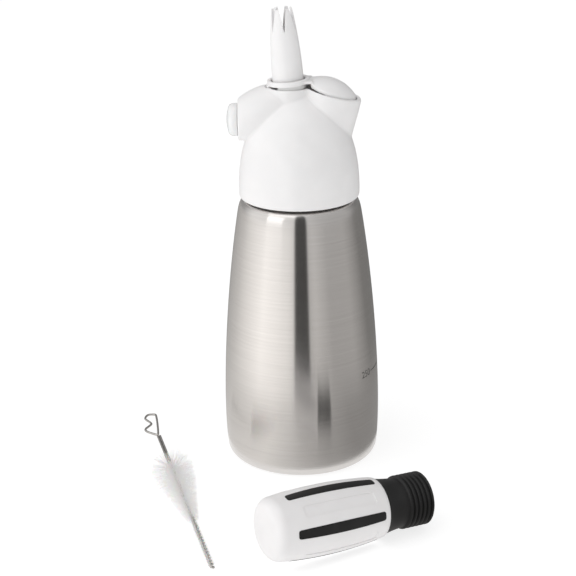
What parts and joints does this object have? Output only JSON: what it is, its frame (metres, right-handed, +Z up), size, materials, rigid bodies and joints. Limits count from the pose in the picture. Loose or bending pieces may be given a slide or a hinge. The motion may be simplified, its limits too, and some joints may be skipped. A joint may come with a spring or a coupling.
{
  "type": "whipped cream dispenser",
  "caption": "Steel cream whipper with a screw-on valve head, lever, star-toothed nozzle, charging port with cap, separate charger holder and cleaning brush.",
  "frame": {"origin": "centre of the bottle's flat base, on the surface it stands on", "axes": "+Z up along the bottle, +X towards the thumb pad, -X towards the charging port"},
  "size_m": [0.1483, 0.179, 0.2352],
  "materials": {
    "bottle_steel": "brushed round",
    "head_white": "satin",
    "core_white": "matte",
    "cap_white": "translucent satin",
    "seal_rubber": "matte",
    "seal_silicone": "matte",
    "stem_steel": "machined",
    "spring_steel": "bright",
    "inlet_steel": "machined",
    "holder_white": "satin",
    "holder_black": "soft matte",
    "liner_aluminium": "machined",
    "wire_steel": "drawn wire",
    "bristle_nylon": "fibres"
  },
  "bodies": {
    "bottle": {"bottle": "bottle_steel"},
    "head_seal": {"head_gasket": "seal_silicone"},
    "head": {"head_shell": "head_white", "head_core": "core_white", "thread_ring": "core_white", "lever_pin": "spring_steel", "valve_spring": "spring_steel", "charging_inlet": "inlet_steel", "inlet_o_ring": "seal_rubber", "piercing_pin": "spring_steel", "inlet_filter": "inlet_steel", "inlet_gasket": "seal_rubber", "check_valve": "seal_silicone"},
    "lever": {"lever": "head_white"},
    "valve": {"valve_stem": "core_white", "stem_o_rings": "seal_rubber", "valve_seal": "seal_rubber", "valve_poppet": "stem_steel"},
    "decorator_tip": {"decorator_tip": "head_white"},
    "protective_cap": {"protective_cap": "cap_white"},
    "charger_holder": {"holder_sleeve": "holder_black", "holder_liner": "liner_aluminium"},
    "holder_barrel": {"holder_barrel": "holder_white", "holder_inlays": "holder_black", "charger_cushion": "seal_rubber"},
    "cleaning_brush": {"brush_stem": "wire_steel", "brush_loop": "wire_steel", "brush_bristles": "bristle_nylon", "brush_tail_bristles": "bristle_nylon"}
  },
  "joints": [
    {"name": "head_lift", "type": "slide", "parent": "bottle", "child": "head_seal", "axis": [0, 0, 1], "range_m": [0, 0.06]},
    {"name": "head_turn", "type": "hinge", "parent": "head_seal", "child": "head", "pos_m": [0, 0, 0.15], "axis": [0, 0, 1], "range_deg": [0, 720]},
    {"name": "lever_press", "type": "hinge", "parent": "head", "child": "lever", "pos_m": [-0.01323, 0, 0.19235], "axis": [0, 1, 0], "range_deg": [0, 5.5]},
    {"name": "valve_press", "type": "slide", "parent": "head", "child": "valve", "axis": [0.075, 0, -0.9972], "range_m": [0, 0.0018], "stiffness_N_per_m": 1200, "springref_m": -0.001, "deforming": ["valve_spring"]},
    {"name": "decorator_tip_off", "type": "slide", "parent": "valve", "child": "decorator_tip", "axis": [-0.075, 0, 0.9972], "range_m": [0, 0.03]},
    {"name": "protective_cap_off", "type": "slide", "parent": "head", "child": "protective_cap", "axis": [-1, 0, 0], "range_m": [0, 0.025]},
    {"name": "holder_lift", "type": "slide", "parent": "bottle", "child": "charger_holder", "axis": [0, 0, 1], "range_m": [0, 0.1]},
    {"name": "holder_open", "type": "slide", "parent": "charger_holder", "child": "holder_barrel", "axis": [-0.876, -0.4776, 0.0678], "range_m": [0, 0.02]},
    {"name": "brush_lift", "type": "slide", "parent": "bottle", "child": "cleaning_brush", "axis": [0, 0, 1], "range_m": [0, 0.1]}
  ],
  "couplings": [
    {"joint": "lever_press", "follows": "valve_press", "rad_per_m": 53.303}
  ]
}
